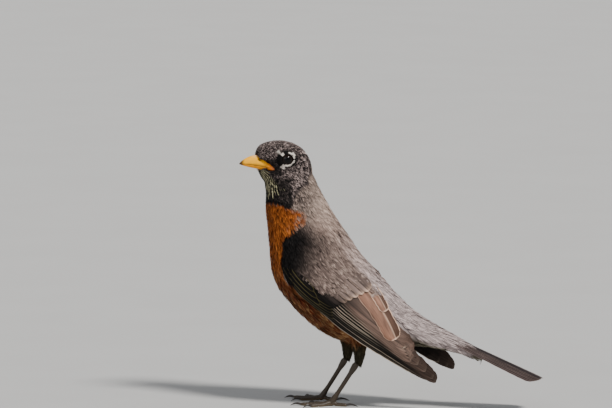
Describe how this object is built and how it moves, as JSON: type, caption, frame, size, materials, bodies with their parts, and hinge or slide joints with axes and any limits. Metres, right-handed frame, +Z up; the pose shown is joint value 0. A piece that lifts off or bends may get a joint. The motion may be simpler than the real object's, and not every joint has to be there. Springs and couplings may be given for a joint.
{
  "type": "american robin",
  "caption": "Life-size still model of an adult American robin standing upright, wings drooped at its sides, head turned to its left, tail held low.",
  "frame": {"origin": "on the floor, under the middle of the whole bird", "axes": "the bird faces -Y, its left side is +X, +Z is up; it stands on Z = 0"},
  "size_m": [0.0604, 0.1994, 0.1724],
  "materials": {
    "hood": "soft blackish-brown feathers, matte",
    "mantle": "soft grey-brown feathers, matte",
    "breast": "soft rusty orange feathers, matte",
    "rump": "soft grey feathers, matte",
    "wing": "firm dark grey-brown flight feathers, slightly silky",
    "tail": "firm dark grey tail feathers, slightly silky",
    "bill": "yellow horn, satin, dusky at the tip",
    "eye": "wet dark brown, glossy",
    "leg": "dark brown scaly skin, satin",
    "claw": "blackish horn, satin"
  },
  "bodies": {
    "root": {"head": "hood", "neck": "mantle", "trunk": "breast", "rump": "rump", "tail": "tail", "bill_upper": "bill", "bill_lower": "bill", "eye_left": "eye", "wing_left_coverts": "wing", "wing_left_secondaries": "wing", "wing_left_primaries": "wing", "thigh_left": "breast", "tarsus_left": "leg", "toe_left_middle": "leg", "claw_left_middle": "claw", "toe_left_inner": "leg", "claw_left_inner": "claw", "toe_left_outer": "leg", "claw_left_outer": "claw", "toe_left_hind": "leg", "claw_left_hind": "claw", "eye_right": "eye", "wing_right_coverts": "wing", "wing_right_secondaries": "wing", "wing_right_primaries": "wing", "thigh_right": "breast", "tarsus_right": "leg", "toe_right_middle": "leg", "claw_right_middle": "claw", "toe_right_inner": "leg", "claw_right_inner": "claw", "toe_right_outer": "leg", "claw_right_outer": "claw", "toe_right_hind": "leg", "claw_right_hind": "claw"}
  },
  "joints": []
}
